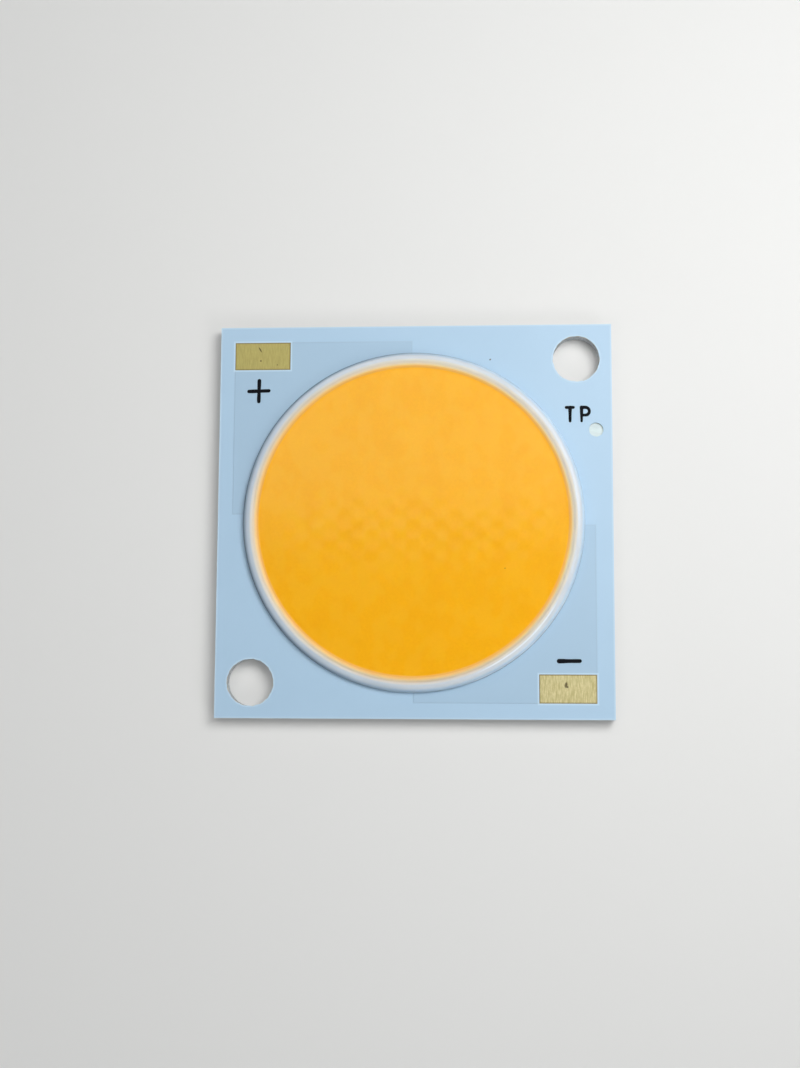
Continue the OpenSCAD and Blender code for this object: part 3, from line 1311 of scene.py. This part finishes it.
BASE = BaseFinish("aluminium sheet")
METAL = {"metallic": 1.0, "detail": 4.0, "depth": 0.4}
ETCHED = {"per_mm": 1.5, "streaks": (4.0, 4.0, 1.0), **METAL}
COPPER = GrainFinish("copper film", linear(214, 140, 104), linear(186, 112, 80), (0.45, 0.28), **ETCHED)
WIRE = GrainFinish("gold wire", linear(255, 214, 112), linear(226, 178, 80), (0.3, 0.18), 20.0, **METAL)
LAMINATE = GrainFinish("dielectric film", linear(206, 198, 176), linear(188, 178, 154), (0.55, 0.55))
ADHESIVE = GrainFinish("die adhesive", linear(226, 224, 214), linear(206, 204, 194), (0.35, 0.35))
CHIP = GrainFinish("chip", linear(120, 140, 176), linear(96, 114, 150), (0.2, 0.2), 12.0, 0.001)
INK = GrainFinish("ink", linear(8, 11, 19), linear(3, 5, 10), (0.6, 0.6), 9.0, 0.004, 0.1)


# ---- studio


@dataclass
class Studio:
    """Floor, light and camera."""

    camera_at: Triple = (5.165, -13.022, 102.696)
    looks: Triple = (-0.06005, 0.11703, -0.99131)
    upward: Triple = (0.00202, 0.99312, 0.11712)
    lens: float = 48.876
    sensor_w: float = 36.0
    clip: Point = (0.002, 20.0)
    floor_half: float = 2.0
    sky: float = 0.18
    sky_tone: Colour = (0.95, 0.975, 1.0)
    band_top: float = 0.45

    def build(self) -> None:
        """Builds the whole set."""
        self._floor()
        self._world()
        self._lamp("ceiling", (0, 238, 535), (0, -30, 0), (660, 360), 1.35)
        self._lamp("window", (230, -240, 200), (0, 0, 0), (120, 120), 5.0)
        self._lamp("fill", (-200, -160, 260), (0, 0, 0), (260, 260), 0.8)
        self._lamp("near", (48, 30, 90), (0, 0, 0), (60, 60), 5.7)
        self._camera()

    def _floor(self) -> None:
        """Lays the pale floor."""
        bm = bmesh.new()
        bmesh.ops.create_grid(bm, x_segments=1, y_segments=1, size=self.floor_half)
        mesh = bpy.data.meshes.new("floor")
        bm.to_mesh(mesh)
        bm.free()
        floor = add_object("floor", mesh)
        mesh.materials.append(PaperFinish("paper").material())

    def _world(self) -> None:
        """Sets the even sky, with a pale band at the horizon that only looks pale and lights nothing."""
        world = bpy.data.worlds.new("sky")
        graph = Graph(world)
        sky = graph.add("ShaderNodeBackground", {"Color": self.sky_tone, "Strength": self.sky})
        band = graph.add("ShaderNodeBackground", {"Color": PaperFinish.backdrop})
        direction = graph.add("ShaderNodeTexCoord").outputs["Generated"]
        height = graph.add("ShaderNodeSeparateXYZ", {0: direction}).outputs[2]
        low = graph.ramp(height, self.band_top / 3, self.band_top, 1.0, 0.0)
        share = graph.calc("MULTIPLY", low, graph.seen_by_eye())
        both = graph.add("ShaderNodeMixShader", {0: share, 1: sky.outputs[0], 2: band.outputs[0]})
        graph.add("ShaderNodeOutputWorld", {"Surface": both.outputs[0]})
        bpy.context.scene.world = world

    def _lamp(self, name: str, place: Triple, aim: Triple, size: Point, radiance: float) -> None:
        """Hangs one soft box.

        Args:
            name: Its name.
            place: Its middle in millimetres.
            aim: The point it faces, in millimetres.
            size: Its width and height in millimetres.
            radiance: How bright its face is; 1 is a white surface in full light.
        """
        lamp = bpy.data.lights.new(name, "AREA")
        lamp.shape = "RECTANGLE"
        lamp.size, lamp.size_y = size[0] * MM, size[1] * MM
        lamp.energy = math.pi * lamp.size * lamp.size_y * radiance
        obj = add_object(name, lamp)
        obj.location = Vector(place) * MM
        obj.rotation_euler = (Vector(aim) - Vector(place)).to_track_quat("-Z", "Y").to_euler()

    def _camera(self) -> None:
        """Sets the camera over the board."""
        camera = bpy.data.cameras.new("camera")
        camera.lens = self.lens
        camera.sensor_width = self.sensor_w
        camera.clip_start, camera.clip_end = self.clip
        obj = add_object("camera", camera)
        back = -Vector(self.looks).normalized()
        up = Vector(self.upward)
        right = up.cross(back).normalized()
        up = back.cross(right)
        turn = Matrix((right, up, back)).transposed()
        obj.matrix_world = Matrix.Translation(Vector(self.camera_at) * MM) @ turn.to_4x4()
        bpy.context.scene.camera = obj
        bpy.context.scene.view_settings.view_transform = "Standard"


def main() -> None:
    """Builds and dresses the whole object and its set."""
    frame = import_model()
    layout = Layout()
    board = Board(layout, frame["nodes"])
    board.build()
    board.dress()
    Pads().build()
    dam = Dam()
    dam.build()
    Phosphor(dam).build()
    Dies(frame["nodes"]).dress()
    Legend(layout).build()
    Studio().build()


if __name__ == "__main__":
    main()
